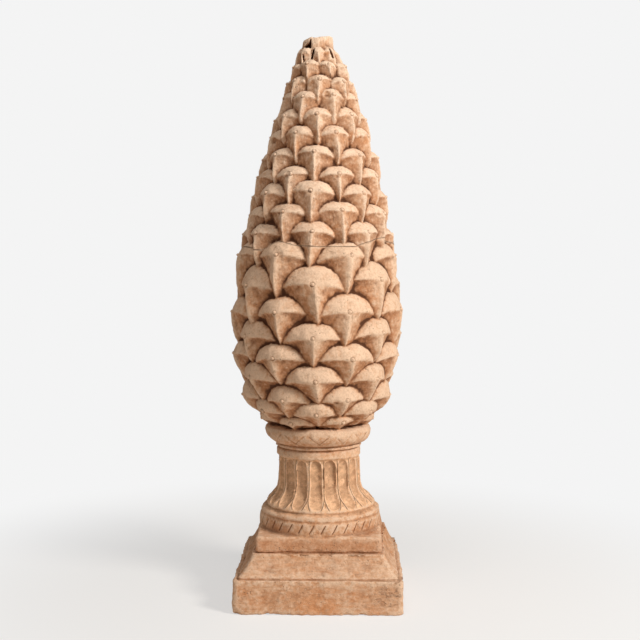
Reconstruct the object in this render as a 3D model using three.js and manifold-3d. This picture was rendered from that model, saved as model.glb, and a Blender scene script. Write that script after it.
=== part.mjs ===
// A terracotta pinecone finial, modelled and fired in two sections. The lower section is a square
// moulded plinth, a round fluted socle and the lower rows of scales; the upper section is the rest
// of the cone, with its broken tip, and rests on the lower one.
// Millimetres, +Z up, front towards -Y, origin at the middle of the plinth's underside.

import * as THREE from 'three';
import { mergeVertices } from 'three/addons/utils/BufferGeometryUtils.js';
import Module from 'manifold-3d';

const wasm = await Module();
wasm.setup();

// Plinth: a square block, a hollow moulding that slopes in, and a square pad under the socle.
const plinthWidth = 290;
const blockHeight = 60;
const blockEdgeRound = 8;
const plinthCornerRound = 7;
const ledgeWidth = 6;
const hollowHeight = 38;
const hollowSag = 5;
const padWidth = 222;
const padHeight = 25.5;
const padLip = 4;
const plinthGroove = 2.5;

// Socle: a round band, a fluted neck that flares into it, an astragal and a collar.
const bandInset = 0.5;
const bandHeight = 28;
const bandRound = 2;
const bandRoll = 9;
const flareSetback = 9;
const flareHeight = 40;
const neckRadius = 74;
const neckHeight = 50;
const neckBandHeight = 20;
const astragalReach = 5;
const astragalHeight = 9;
const collarReach = 24;
const collarHeight = 30;
const collarOverlap = 6;
const socleGroove = 3;
const socleSides = 36;

// Flutes: round-bottomed channels round the neck, spreading with the flare.
const fluteCount = 18;
const fluteTurn = -3.5;
const fluteShare = 0.66;
const fluteDepth = 7;
const fluteSteps = 8;

// Cone: its height above the collar, and how its outline over the scales swells and tapers.
const coneHeight = 714;
const coneRadius = 158;
const widestShare = 0.3;
const footTaper = 15.3;
const footCurve = 2.96;
const tipTaper = 1.41;
const tipCurve = 1.573;

// Rows of scales: where the first and last rows' crowns stand, and the rise from each row to the
// next, all as shares of the cone's height. Every row is turned by half a scale to the one below.
const firstRow = 0.021;
const lastRow = 0.965;
const rowRises = [
  [0.02, 0.024], [0.09, 0.054], [0.22, 0.056], [0.36, 0.073],
  [0.5, 0.046], [0.6, 0.049], [0.72, 0.051], [0.96, 0.035],
];

// Scales of each section: the number in a row, the turn of the first one, and the rise of the
// arched top edge over the crown as a share of the radius there.
const lowerScales = { count: 7, turn: 20, archRise: 0.2 };
const upperScales = { count: 8, turn: 14.5, archRise: 0.13 };

// One scale, in shares of the radius over the crowns.
const crestDrop = 0.01;
const crestSetback = 0.05;
const archSetback = 0.13;
const cornerSetback = 0.17;
const flankSetback = 0.19;
const keelShare = 0.63;
const archGap = 0.02;
const archSteps = 3;

// Joint between the two sections, as a share of the cone's height, the clearance that keeps them
// apart, and how far each one's scales are worked out past it before it is cut.
const jointShare = 0.458;
const jointGap = 0.3;
const jointOverrun = 0.16;

// Broken tip: a stub with a ragged top, a deep hole on its left and a groove on its right. Its
// sizes are shares of the cone's greatest radius.
const stubFootRadius = 0.25;
const stubTopRadius = 0.18;
const stubHeight = 0.44;
const stubRagged = 0.035;
const stubSides = 9;
const holeWidth = 0.08;
const holeHeight = 0.16;
const holeTurn = 42;
const grooveWidth = 0.035;
const grooveHeight = 0.14;
const grooveTurn = -40;

// Heights that follow from the sizes above.
const hollowTop = blockHeight + hollowHeight;
const plinthTop = hollowTop + plinthGroove + padHeight;
const bandTop = plinthTop + bandHeight;
const flareFoot = bandTop + bandRoll;
const neckFoot = flareFoot + flareHeight;
const neckTop = neckFoot + neckHeight;
const neckBandTop = neckTop + neckBandHeight;
const astragalTop = neckBandTop + astragalHeight;
const collarTop = astragalTop + collarHeight;
const coneFoot = collarTop - collarOverlap;
const tipHeight = coneFoot + coneHeight;
const jointHeight = coneFoot + coneHeight * jointShare;

// Radii that follow: each round of the socle stands off the one that it meets.
const bandRadius = padWidth / 2 - bandInset;
const flareRadius = bandRadius - flareSetback;
const astragalRadius = neckRadius + astragalReach;
const collarRadius = neckRadius + collarReach;

const radians = THREE.MathUtils.degToRad;

// Terracotta: matt, pinkish tan where the upper section is bleached, warmer below.
const lowerClay = new THREE.MeshStandardMaterial({ color: '#c8946c', roughness: 0.92, metalness: 0 });
const upperClay = new THREE.MeshStandardMaterial({ color: '#d0a07a', roughness: 0.92, metalness: 0 });

// A closed geometry as a solid that can be joined and cut.
function toSolid(geometry) {
  const bare = geometry.clone();
  bare.deleteAttribute('normal');
  bare.deleteAttribute('uv');
  const merged = mergeVertices(bare, 1e-4);
  return new wasm.Manifold(new wasm.Mesh({
    numProp: 3,
    vertProperties: new Float32Array(merged.attributes.position.array),
    triVerts: new Uint32Array(merged.index.array),
  }));
}

// The outer shell of a solid as a geometry.
function toGeometry(solid) {
  const shells = solid.decompose();
  const outer = shells.reduce((best, shell) => (shell.volume() > best.volume() ? shell : best));
  const mesh = outer.getMesh();
  const geometry = new THREE.BufferGeometry();
  geometry.setAttribute('position', new THREE.Float32BufferAttribute(mesh.vertProperties, 3));
  geometry.setIndex(new THREE.Uint32BufferAttribute(mesh.triVerts, 1));
  return geometry;
}

// A closed solid from rings of points, all with the same number of points, turning anticlockwise
// seen from above and given from the lowest ring to the highest.
function ringSolid(rings) {
  const size = rings[0].length;
  const points = rings.flat();
  const faces = [];
  for (let level = 0; level + 1 < rings.length; level += 1) {
    for (let i = 0; i < size; i += 1) {
      const a = level * size + i;
      const b = level * size + ((i + 1) % size);
      faces.push(a, b, a + size);
      faces.push(b, b + size, a + size);
    }
  }
  const last = (rings.length - 1) * size;
  for (let i = 1; i + 1 < size; i += 1) {
    faces.push(0, i + 1, i);
    faces.push(last, last + i, last + i + 1);
  }
  return meshSolid(points, faces);
}

function meshSolid(points, faces) {
  const geometry = new THREE.BufferGeometry();
  const numbers = points.flatMap((point) => [point.x, point.y, point.z]);
  geometry.setAttribute('position', new THREE.Float32BufferAttribute(numbers, 3));
  geometry.setIndex(faces);
  return toSolid(geometry);
}

// A body turned from a profile of [radius, height] points that starts and ends on the axis.
function turned(profile, sides) {
  const points = profile.map(([radius, height]) => new THREE.Vector2(radius, height));
  const geometry = new THREE.LatheGeometry(points, sides);
  geometry.rotateX(Math.PI / 2);
  return toSolid(geometry);
}

// A box with its middle at a point at the front of a round body, turned round the axis.
function boxAt(width, depth, height, radius, middleHeight, turn) {
  const geometry = new THREE.BoxGeometry(width, depth, height);
  geometry.translate(0, -radius, middleHeight);
  geometry.rotateZ(radians(turn));
  return toSolid(geometry);
}

// A point on a round body: the angle runs from the front, towards +X.
function onRound(radius, angle, height) {
  return new THREE.Vector3(radius * Math.sin(angle), -radius * Math.cos(angle), height);
}

// The value at t on a broken line through [place, value] stations.
function along(stations, t) {
  const [firstPlace, firstValue] = stations[0];
  if (t <= firstPlace) return firstValue;
  for (let i = 1; i < stations.length; i += 1) {
    const [place, value] = stations[i];
    const [placeBefore, valueBefore] = stations[i - 1];
    if (t <= place) return valueBefore + (value - valueBefore) * (t - placeBefore) / (place - placeBefore);
  }
  return stations.at(-1)[1];
}

// A square ring with rounded corners.
function squareRing(halfWidth, height) {
  const ring = [];
  const round = Math.min(plinthCornerRound, halfWidth / 2);
  for (let corner = 0; corner < 4; corner += 1) {
    for (let step = 0; step <= 2; step += 1) {
      const angle = radians(90 * corner + 45 * step);
      const middle = new THREE.Vector2(1, 1).rotateAround(new THREE.Vector2(), radians(90 * corner));
      const x = middle.x * (halfWidth - round) + round * Math.cos(angle);
      const y = middle.y * (halfWidth - round) + round * Math.sin(angle);
      ring.push(new THREE.Vector3(x, y, height));
    }
  }
  return ring;
}

function plinth() {
  const block = plinthWidth / 2;
  const pad = padWidth / 2;
  const hollowFoot = block - ledgeWidth;
  const hollowHead = pad + padLip;
  const profile = [
    [block - blockEdgeRound, 0],
    [block - blockEdgeRound * 0.3, blockEdgeRound * 0.3],
    [block, blockEdgeRound],
    [block, blockHeight - 4],
    [block - 1.5, blockHeight],
    [hollowFoot - plinthGroove, blockHeight],
  ];
  const steps = 4;
  for (let step = 0; step <= steps; step += 1) {
    const t = step / steps;
    const sag = hollowSag * Math.sin(Math.PI * t);
    profile.push([
      THREE.MathUtils.lerp(hollowFoot, hollowHead, t) - sag,
      blockHeight + plinthGroove + (hollowHeight - plinthGroove) * t - sag * 0.5,
    ]);
  }
  profile.push([pad - plinthGroove, hollowTop]);
  profile.push([pad, hollowTop + plinthGroove]);
  profile.push([pad, plinthTop - 2]);
  profile.push([pad - 2, plinthTop]);
  return ringSolid(profile.map(([halfWidth, height]) => squareRing(halfWidth, height)));
}

// Radius of the socle's flare and neck at a height, before the flutes are cut.
function neckOutline(height) {
  const t = THREE.MathUtils.clamp((height - flareFoot) / (neckFoot - flareFoot), 0, 1);
  const swing = 0.5 + 0.5 * Math.cos(Math.PI * Math.pow(t, 0.8));
  return neckRadius + (flareRadius - neckRadius) * swing;
}

// The round band under the flare, with its roll and the groove over it.
function band() {
  return turned([
    [0, plinthTop - 1],
    [bandRadius - bandRound, plinthTop - 1],
    [bandRadius, plinthTop + bandRound],
    [bandRadius, bandTop - bandRound],
    [bandRadius - bandRound, bandTop],
    [bandRadius - bandRound * 2, flareFoot - socleGroove],
    [flareRadius - socleGroove, flareFoot],
    [0, flareFoot],
  ], socleSides);
}

// The plain band over the flutes, the astragal and the collar that cups the cone.
function collar() {
  const profile = [
    [0, neckTop],
    [neckRadius + socleGroove, neckTop],
    [neckRadius + socleGroove, neckBandTop - socleGroove],
    [neckRadius, neckBandTop],
    [astragalRadius, neckBandTop + astragalHeight * 0.4],
    [astragalRadius - socleGroove, astragalTop],
  ];
  const steps = 4;
  for (let step = 1; step <= steps; step += 1) {
    const turn = radians(90 * step / steps);
    profile.push([
      astragalRadius + (collarRadius - astragalRadius) * Math.sin(turn),
      astragalTop + collarHeight * (1 - Math.cos(turn)) * 0.8,
    ]);
  }
  profile.push([collarRadius - socleGroove, collarTop]);
  profile.push([0, collarTop]);
  return turned(profile, socleSides);
}

// The neck and flare, with round-ended flutes that are sunk in them.
function flutedNeck() {
  const foot = flareFoot + socleGroove;
  const rings = [[], ...Array.from({ length: fluteSteps + 1 }, () => []), []];
  const heights = rings.map((ring, level) => foot + (neckTop - foot) * (level - 1) / fluteSteps);
  heights[0] = flareFoot - socleGroove;
  heights[rings.length - 1] = neckTop + 1;
  rings.forEach((ring, level) => {
    const t = THREE.MathUtils.clamp((heights[level] - foot) / (neckTop - foot), 0, 1);
    const open = Math.sqrt(Math.min(1, t * 5, (1 - t) * 8));
    const radius = level === 0 ? flareRadius - socleGroove : neckOutline(heights[level]);
    const half = Math.PI / fluteCount * fluteShare * (0.3 + 0.7 * open);
    for (let index = 0; index < fluteCount; index += 1) {
      const middle = radians(fluteTurn + 360 * index / fluteCount);
      ring.push(onRound(radius, middle - half, heights[level]));
      ring.push(onRound(radius - fluteDepth * open * 0.85, middle - half * 0.5, heights[level]));
      ring.push(onRound(radius - fluteDepth * open * 0.85, middle + half * 0.5, heights[level]));
      ring.push(onRound(radius, middle + half, heights[level]));
    }
  });
  return ringSolid(rings);
}

// Radius over the crowns of the scales at a share of the cone's height.
function crownRadius(share) {
  const below = widestShare - share;
  const swell = below > 0 ? footTaper * Math.pow(below, footCurve) : tipTaper * Math.pow(-below, tipCurve);
  return coneRadius * Math.max(0.05, 1 - swell);
}

// The heights of the crowns, row by row from the lowest up, as shares of the cone's height.
function rowShares() {
  const shares = [];
  for (let share = firstRow; share < lastRow; share += along(rowRises, share)) shares.push(share);
  return shares;
}

// Rows of one kind of scale that cover the cone from one share of its height to another. The two
// rows at either end only carry the edges of their neighbours, sunk in what lies over them.
function rowsBetween(kind, from, to) {
  const all = rowShares();
  const picked = all.map((share, index) => ({ share, index })).filter(({ share }) => share > from && share < to);
  const step = picked[1].share - picked[0].share;
  const lead = [2, 1].map((back) => ({ share: picked[0].share - step * back, index: picked[0].index - back }));
  const rows = [...lead, ...picked].map(({ share, index }) => ({
    share,
    height: coneFoot + coneHeight * share,
    turn: kind.turn + (((index % 2) + 2) % 2) * 180 / kind.count,
  }));
  rows.forEach((row, k) => {
    const above = rows[k + 2] ?? { height: row.height * 2 - rows[k - 2].height };
    row.cornerHeight = above.height - keelShare * (above.height - row.height);
    const arch = row.height + kind.archRise * crownRadius(row.share);
    row.archHeight = Math.min(arch, row.cornerHeight - archGap * crownRadius(row.share));
  });
  return rows;
}

// A stretch of the cone, covered with scales. Each scale is an arched cap that slopes out to a
// crest, and two hollow flanks that meet in a sharp keel under the crown, the furthest point out.
// The corners of two caps and the foot of the keel over them meet in one point.
function scaledCone(kind, from, to) {
  const rows = rowsBetween(kind, from, to);
  const points = [];
  const faces = [];
  const put = (row, side, height, setback, turn = 0) => {
    const angle = radians(row.turn + 360 * side / kind.count) + turn * Math.PI / kind.count;
    const share = (height - coneFoot) / coneHeight;
    return points.push(onRound(crownRadius(share) * (1 - setback), angle, height)) - 1;
  };
  // The scale of the row below that stands half a scale to one side (way -1 or 1) of a scale.
  const shifted = (k, side, way) => {
    const half = rows[k - 1].turn - rows[k].turn;
    return Math.round(side + way / 2 - half * kind.count / 360 + kind.count) % kind.count;
  };
  rows.forEach((row) => {
    row.corner = [];
    row.arch = [];
    for (let side = 0; side < kind.count; side += 1) {
      row.corner.push(put(row, side, row.cornerHeight, cornerSetback));
      row.arch.push(put(row, side, row.archHeight, archSetback));
    }
  });
  rows.forEach((row, k) => {
    if (k === 0) return;
    row.chains = [-1, 1].map((way) => row.arch.map((top, side) => {
      const chain = [rows[k - 1].corner[shifted(k, side, way)]];
      const fall = row.archHeight - rows[k - 1].cornerHeight;
      for (let step = 1; step < archSteps; step += 1) {
        const s = Math.cos(Math.PI / 2 * step / archSteps);
        const height = row.archHeight - fall * (1 - Math.sqrt(1 - s * s));
        chain.push(put(row, side, height, archSetback, way * s * 0.95));
      }
      return [...chain, top];
    }));
  });
  const fan = (middle, loop, way) => loop.forEach((point, i) => {
    const next = loop[(i + 1) % loop.length];
    if (way < 0) faces.push(middle, next, point);
    else faces.push(middle, point, next);
  });
  rows.forEach((row, k) => {
    if (k < 2) return;
    for (let side = 0; side < kind.count; side += 1) {
      const crown = points.push(onRound(
        crownRadius(row.share),
        radians(row.turn + 360 * side / kind.count),
        row.height,
      )) - 1;
      const foot = rows[k - 2].corner[shifted(k - 1, shifted(k, side, 1), -1)];
      [-1, 1].forEach((way, hand) => {
        const chain = row.chains[hand][side];
        const crest = put(row, side, row.height - crestDrop * coneRadius, crestSetback, way * 0.5);
        const neighbour = shifted(k, side, way);
        const edge = rows[k - 1].chains[1 - hand][neighbour];
        const keel = row.height - rows[k - 2].cornerHeight;
        const flank = put(row, side, row.height - keel * 0.4, flankSetback, way * 0.4);
        fan(flank, [crown, crest, chain[0], ...edge.slice(1).reverse(), foot], -way);
        const last = chain.length - 1;
        for (let i = 0; i < last; i += 1) {
          const near = i < last - 1 ? crest : crown;
          if (way < 0) faces.push(chain[i], near, chain[i + 1]);
          else faces.push(chain[i], chain[i + 1], near);
        }
        if (way < 0) faces.push(crest, crown, chain[last - 1]);
        else faces.push(crest, chain[last - 1], crown);
      });
    }
  });
  const close = (k, height, way) => {
    const hub = points.push(new THREE.Vector3(0, 0, height)) - 1;
    for (let side = 0; side < kind.count; side += 1) {
      const [left, right] = rows[k].chains.map((chains) => chains[side]);
      const loop = [...left, ...right.slice(0, -1).reverse()];
      for (let i = 0; i + 1 < loop.length; i += 1) {
        if (way > 0) faces.push(hub, loop[i], loop[i + 1]);
        else faces.push(hub, loop[i + 1], loop[i]);
      }
    }
  };
  close(1, rows[0].height, -1);
  close(rows.length - 1, rows.at(-1).height, 1);
  return meshSolid(points, faces);
}

// The stub that is left of the tip, with its ragged top, its hole and its groove.
function stub() {
  const size = (share) => share * coneRadius;
  const foot = tipHeight - size(stubHeight);
  const levels = [
    [foot, size(stubFootRadius), 0],
    [(foot + tipHeight) / 2, size(stubTopRadius) + size(stubRagged), 0],
    [tipHeight, size(stubTopRadius), size(stubRagged)],
  ];
  const rings = levels.map(([height, radius, ragged]) => {
    const ring = [];
    for (let side = 0; side < stubSides; side += 1) {
      const angle = 2 * Math.PI * side / stubSides;
      const dip = ragged * (0.5 + 0.5 * Math.cos(angle * 3 + 1));
      ring.push(onRound(radius - dip / 2, angle, height - dip));
    }
    return ring;
  });
  const reach = size(stubTopRadius);
  const hole = boxAt(size(holeWidth), reach, size(holeHeight), reach, tipHeight - size(holeHeight), -holeTurn);
  const grooveFoot = tipHeight - size(grooveHeight) * 1.5;
  const groove = boxAt(size(grooveWidth), reach / 3, size(grooveHeight), reach * 1.1, grooveFoot, -grooveTurn);
  return ringSolid(rings).subtract(hole).subtract(groove);
}

// Each section is built past the joint and cut off there.
function sections() {
  const reach = 4 * Math.max(plinthWidth, coneRadius);
  const above = boxAt(reach, reach, tipHeight, 0, jointHeight + tipHeight / 2, 0);
  const below = boxAt(reach, reach, tipHeight, 0, jointHeight + jointGap - tipHeight / 2, 0);
  const lowerCone = scaledCone(lowerScales, 0, jointShare + jointOverrun);
  const upperCone = scaledCone(upperScales, jointShare - jointOverrun, 1);
  const lower = plinth().add(band()).add(flutedNeck()).add(collar()).add(lowerCone);
  return { lower: lower.subtract(above), upper: upperCone.add(stub()).subtract(below) };
}

const parts = sections();

const lowerSection = new THREE.Mesh(toGeometry(parts.lower), lowerClay);
lowerSection.name = 'lower_section';

const upperSection = new THREE.Mesh(toGeometry(parts.upper), upperClay);
upperSection.name = 'upper_section';

const pineconeFinial = new THREE.Group();
pineconeFinial.add(lowerSection, upperSection);

export default pineconeFinial;
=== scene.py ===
import math
import random

import bmesh
import bpy
import numpy as np
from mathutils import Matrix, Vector


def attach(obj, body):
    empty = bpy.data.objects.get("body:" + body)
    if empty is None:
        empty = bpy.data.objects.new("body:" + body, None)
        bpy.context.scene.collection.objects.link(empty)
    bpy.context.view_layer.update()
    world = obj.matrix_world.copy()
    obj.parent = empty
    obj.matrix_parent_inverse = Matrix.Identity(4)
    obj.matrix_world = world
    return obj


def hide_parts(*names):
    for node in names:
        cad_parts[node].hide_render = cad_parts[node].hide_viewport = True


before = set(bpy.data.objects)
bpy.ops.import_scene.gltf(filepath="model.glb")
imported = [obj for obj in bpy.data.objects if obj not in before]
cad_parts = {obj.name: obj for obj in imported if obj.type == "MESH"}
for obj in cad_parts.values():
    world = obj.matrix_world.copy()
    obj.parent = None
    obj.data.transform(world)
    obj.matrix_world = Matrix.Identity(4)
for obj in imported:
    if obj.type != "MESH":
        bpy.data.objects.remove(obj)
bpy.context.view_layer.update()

# Sizes, in metres. The plinth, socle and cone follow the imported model.
PLINTH_WIDTH = 0.294
BLOCK_HEIGHT = 0.0585
PAD_WIDTH = 0.222
HOLLOW_TOP = 0.096
PLINTH_TOP = 0.125
BAND_BOTTOM = 0.1285
BAND_TOP = 0.154
FLARE_FOOT = 0.163
NECK_FOOT = 0.203
NECK_TOP = 0.253
NECK_BAND_TOP = 0.273
ASTRAGAL_TOP = 0.282
COLLAR_TOP = 0.312
NECK_RADIUS = 0.074
FLARE_RADIUS = 0.1015
BAND_RADIUS = 0.1105
COLLAR_RADIUS = 0.098
FLUTES = 18
FLUTE_TURN = -3.5
CONE_FOOT = 0.306
CONE_HEIGHT = 0.714
CONE_RADIUS = 0.158
WIDEST = 0.3
JOINT_HEIGHT = 0.633
JOINT_GAP = 0.0003

# The skin of the fired body: the distance of its points, and the most triangles of a section.
SKIN = 0.0015
MOST_TRIANGLES = 192000

# Scales in a row of each section and the turn of the first one, in degrees from the front.
LOWER_COUNT, LOWER_TURN = 7, 24.0
UPPER_COUNT, UPPER_TURN = 8, 18.5

# Every row of scales from the lowest up: the height of its crowns, the rise of its arched tops
# over them and the length of its keels below them.
ROWS = (
    (0.321, 0.015, 0.012), (0.338, 0.026, 0.018), (0.363, 0.029, 0.027), (0.399, 0.028, 0.033),
    (0.438, 0.026, 0.038), (0.474, 0.031, 0.042), (0.519, 0.031, 0.050), (0.566, 0.035, 0.060),
    (0.618, 0.026, 0.060), (0.659, 0.019, 0.052), (0.693, 0.016, 0.049), (0.727, 0.017, 0.046),
    (0.761, 0.016, 0.044), (0.797, 0.0135, 0.044), (0.833, 0.0135, 0.044), (0.868, 0.0135, 0.040),
    (0.902, 0.011, 0.038), (0.933, 0.009, 0.034), (0.961, 0.007, 0.026), (0.988, 0.010, 0.024),
)
FIRST_UPPER_ROW = 9


def crown_radius(height):
    """Radius over the crowns of the scales at a height, for one height or an array of them."""
    share = (np.asarray(height, dtype=float) - CONE_FOOT) / CONE_HEIGHT
    below = np.clip(WIDEST - share, 0, None)
    above = np.clip(share - WIDEST, 0, None)
    swell = 15.3 * below ** 2.96 + 1.41 * above ** 1.573
    belly = 0.05 * np.exp(-((np.asarray(height) - 0.345) / 0.03) ** 2)
    belly = belly + 0.014 * np.exp(-((np.asarray(height) - 0.47) / 0.10) ** 2)
    return CONE_RADIUS * np.clip(1 - swell + belly, 0.05, None)


def lean(height):
    """How far the middle of the body stands to the right at a height: it was pressed by hand."""
    levels = (0.13, 0.16, 0.20, 0.25, 0.29, 0.34, 0.38, 0.57, 0.80, 0.95, 0.985)
    offsets = (0, 0.001, -0.001, -0.002, -0.004, -0.0055, -0.0065, -0.0055, 0, 0, -0.0033)
    return np.interp(np.asarray(height, dtype=float), levels, offsets)


def neck_radius(height):
    """Radius of the fluted neck, which flares into the band under it."""
    t = min(1.0, max(0.0, (height - FLARE_FOOT) / (NECK_FOOT - FLARE_FOOT)))
    return NECK_RADIUS + (FLARE_RADIUS - NECK_RADIUS) * (0.5 + 0.5 * math.cos(math.pi * t ** 0.8))


# Modelling by hand.
def rest():
    if bpy.context.object and bpy.context.object.mode != "OBJECT":
        bpy.ops.object.mode_set(mode="OBJECT")
    bpy.ops.object.select_all(action="DESELECT")


def take(*pieces):
    """Leaves edit mode and selects only these pieces, the first of them active."""
    rest()
    for piece in pieces:
        piece.select_set(True)
    bpy.context.view_layer.objects.active = pieces[0]


def edit(piece):
    take(piece)
    bpy.ops.object.mode_set(mode="EDIT")


def started(name):
    """The primitive that was just added, named, with its turn and size put into its mesh."""
    piece = bpy.context.object
    piece.name = name
    bpy.ops.object.transform_apply(location=True, rotation=True, scale=True)
    return piece


def choose(piece, kind, test):
    """Selects the vertices, edges or faces in edit mode that pass a test on the element."""
    bpy.ops.mesh.select_mode(type=kind)
    bpy.ops.mesh.select_all(action="DESELECT")
    cage = bmesh.from_edit_mesh(piece.data)
    elements = {"VERT": cage.verts, "EDGE": cage.edges, "FACE": cage.faces}[kind]
    for element in elements:
        if test(element):
            element.select_set(True)
    cage.select_flush_mode()
    bmesh.update_edit_mesh(piece.data)


def shift(x, y, z):
    bpy.ops.transform.translate(value=(x, y, z))


def stretch(x, y, z, centre=(0, 0, 0)):
    bpy.ops.transform.resize(value=(x, y, z), center_override=centre)


def pull_up(stations):
    """Draws the chosen face up through (half width, height) stations."""
    width, height = stations[0]
    for new_width, new_height in stations[1:]:
        bpy.ops.mesh.extrude_region_move(TRANSFORM_OT_translate={"value": (0, 0, new_height - height)})
        if new_width != width:
            stretch(new_width / width, new_width / width, 1, (0, 0, new_height))
        width, height = new_width, new_height


def finish_with(piece, kind, **settings):
    """Adds a modifier with its settings and applies it."""
    take(piece)
    modifier = piece.modifiers.new(kind.title(), kind)
    for key, value in settings.items():
        setattr(modifier, key, value)
    bpy.ops.object.modifier_apply(modifier=modifier.name)


def places(mesh):
    values = np.empty(len(mesh.vertices) * 3)
    mesh.vertices.foreach_get("co", values)
    return values.reshape(-1, 3)


def put_places(mesh, values):
    mesh.vertices.foreach_set("co", np.ascontiguousarray(values).ravel())
    mesh.update()


def copy_of(piece, name):
    twin = piece.copy()
    twin.data = piece.data.copy()
    twin.name = name
    bpy.context.collection.objects.link(twin)
    return twin


def drop(*pieces):
    for piece in pieces:
        mesh = piece.data
        bpy.data.objects.remove(piece)
        bpy.data.meshes.remove(mesh)


def joined(pieces, name):
    take(*pieces)
    bpy.ops.object.join()
    pieces[0].name = name
    return pieces[0]


def carve(piece, cutters):
    """Takes the cutters out of a piece."""
    tool = joined(cutters, "cutter")
    finish_with(piece, "BOOLEAN", operation="DIFFERENCE", solver="EXACT", object=tool)
    drop(tool)


# One scale, modelled flat: x is 1 at its corners, z is 1 at the top of its arch and -1 at the
# foot of its keel, and y is how far it stands back, in shares of the radius. Each row of the grid
# has the places of its five columns, from the middle out to the corner. The crest is one of them.
SCALE_ROWS = (
    ((0, 1.05, 0.165), (0.29, 0.98, 0.156), (0.57, 0.78, 0.148), (0.83, 0.37, 0.152), (1.0, -0.05, 0.184)),
    ((0, 0.90, 0.094), (0.29, 0.84, 0.098), (0.57, 0.65, 0.110), (0.82, 0.27, 0.136), (1.0, -0.09, 0.176)),
    ((0, 0.46, 0.034), (0.28, 0.42, 0.048), (0.55, 0.30, 0.076), (0.80, 0.10, 0.116), (1.0, -0.13, 0.168)),
    ((0, 0.03, 0.000), (0.26, 0.03, 0.024), (0.53, 0.00, 0.060), (0.79, -0.06, 0.104), (1.0, -0.17, 0.160)),
    ((0, -0.05, 0.002), (0.19, -0.07, 0.044), (0.47, -0.1, 0.098), (0.76, -0.16, 0.144), (1.0, -0.27, 0.182)),
    ((0, -0.5, 0.014), (0.18, -0.5, 0.074), (0.45, -0.5, 0.138), (0.74, -0.53, 0.182), (1.0, -0.56, 0.208)),
    ((0, -1.0, 0.056), (0.11, -1.0, 0.118), (0.35, -1.0, 0.180), (0.70, -1.0, 0.216), (1.0, -1.0, 0.236)),
    ((0, -1.45, 0.190), (0.20, -1.45, 0.235), (0.46, -1.5, 0.255), (0.75, -1.5, 0.265), (1.0, -1.5, 0.265)),
)
CREST = 3


def model_scale():
    rest()
    columns = 8
    bpy.ops.mesh.primitive_grid_add(
        x_subdivisions=columns,
        y_subdivisions=len(SCALE_ROWS) - 1,
        size=2,
        rotation=(math.pi / 2, 0, 0),
    )
    scale = started("scale")
    edit(scale)
    step = 2 / (len(SCALE_ROWS) - 1)
    for index, row in enumerate(SCALE_ROWS):
        height = 1 - step * index
        for column, (reach, rise, back) in enumerate(row):
            across = column * 2 / columns

            def here(v, height=height, across=across):
                return abs(v.co.z - height) < 1e-4 and abs(abs(v.co.x) - across) < 1e-4 and abs(v.co.y) < 1e-6

            choose(scale, "VERT", here)
            if across:
                stretch(reach / across, 1, 1)
            shift(0, back + 1e-3, rise - height)
    choose(scale, "EDGE", lambda e: e.is_boundary)
    bpy.ops.mesh.extrude_region_move(TRANSFORM_OT_translate={"value": (0, 0.3, 0)})
    bpy.ops.mesh.edge_face_add()
    bpy.ops.mesh.select_all(action="SELECT")
    bpy.ops.mesh.normals_make_consistent(inside=False)
    keel_top, crest_low = 0.06, -0.2

    def on_keel(v):
        return abs(v.co.x) < 1e-4 and v.co.z < keel_top and v.co.y < 0.2

    choose(scale, "EDGE", lambda e: all(on_keel(v) for v in e.verts))
    bpy.ops.transform.edge_crease(value=1.0)

    def on_crest(v):
        return any(
            abs(abs(v.co.x) - reach) < 1e-3 and abs(v.co.z - rise) < 1e-3 and abs(v.co.y - back - 1e-3) < 1e-3
            for reach, rise, back in SCALE_ROWS[CREST]
        )

    choose(scale, "EDGE", lambda e: all(on_crest(v) for v in e.verts) and crest_low < e.verts[0].co.z)
    bpy.ops.transform.edge_crease(value=0.95)

    def on_arch(v):
        return v.co.y < 0.2 and any(
            abs(abs(v.co.x) - reach) < 1e-3 and abs(v.co.z - rise) < 1e-3 for reach, rise, _ in SCALE_ROWS[0]
        )

    choose(scale, "EDGE", lambda e: all(on_arch(v) for v in e.verts))
    bpy.ops.transform.edge_crease(value=0.8)
    finish_with(scale, "SUBSURF", levels=2, render_levels=2)
    return scale


def lay_scale(pattern, row, side, luck):
    """A copy of the scale laid on the cone, with the small differences of work by hand.

    The rows near the foot and the tip are turned a little further, as the modeller set them.
    """
    height, arch, keel = ROWS[row]
    lower = row < FIRST_UPPER_ROW
    count, turn = (LOWER_COUNT, LOWER_TURN) if lower else (UPPER_COUNT, UPPER_TURN)
    turn += (row % 2) * 180 / count + side * 360 / count + luck.uniform(-1.2, 1.2)
    turn += max(0, 0.41 - height) * 30 + max(0, height - 0.75) * 18
    height += luck.uniform(-0.002, 0.002)
    if lower and side == 0 and row % 2 == 1 and 0.47 < height < 0.6:
        height += 0.008
    copy = copy_of(pattern, f"scale_{row}_{side}")
    x, y, z = places(copy.data).T
    under = np.clip(-z, 0, 1)
    z = z + (luck.uniform(-0.10, 0.10) * x + luck.uniform(-0.10, 0.06) * x ** 2) * (1 - under)
    x = x + luck.uniform(-0.08, 0.08) * np.clip(-z, 0, 1.2) + luck.uniform(-0.06, 0.06) * (1 - np.abs(x))
    half = math.pi / count * luck.uniform(0.98, 1.07)
    depth = luck.uniform(0.90, 1.10)
    arch *= luck.uniform(0.92, 1.12)
    keel *= luck.uniform(0.96, 1.08)
    level = height + np.where(z > 0, z * arch, z * keel)
    stand = luck.uniform(-0.012, 0.014) - (0.08 if row == len(ROWS) - 1 else 0)
    radius = crown_radius(level) * (1 - y * depth + stand)
    angle = math.radians(turn) + x * half
    put_places(copy.data, np.column_stack((radius * np.sin(angle), -radius * np.cos(angle), level)))
    crown = crown_radius(height) * (1 + stand)
    spot = (
        crown * math.sin(math.radians(turn)) + float(lean(height)),
        -crown * math.cos(math.radians(turn)),
        height,
    )
    return copy, spot


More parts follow.
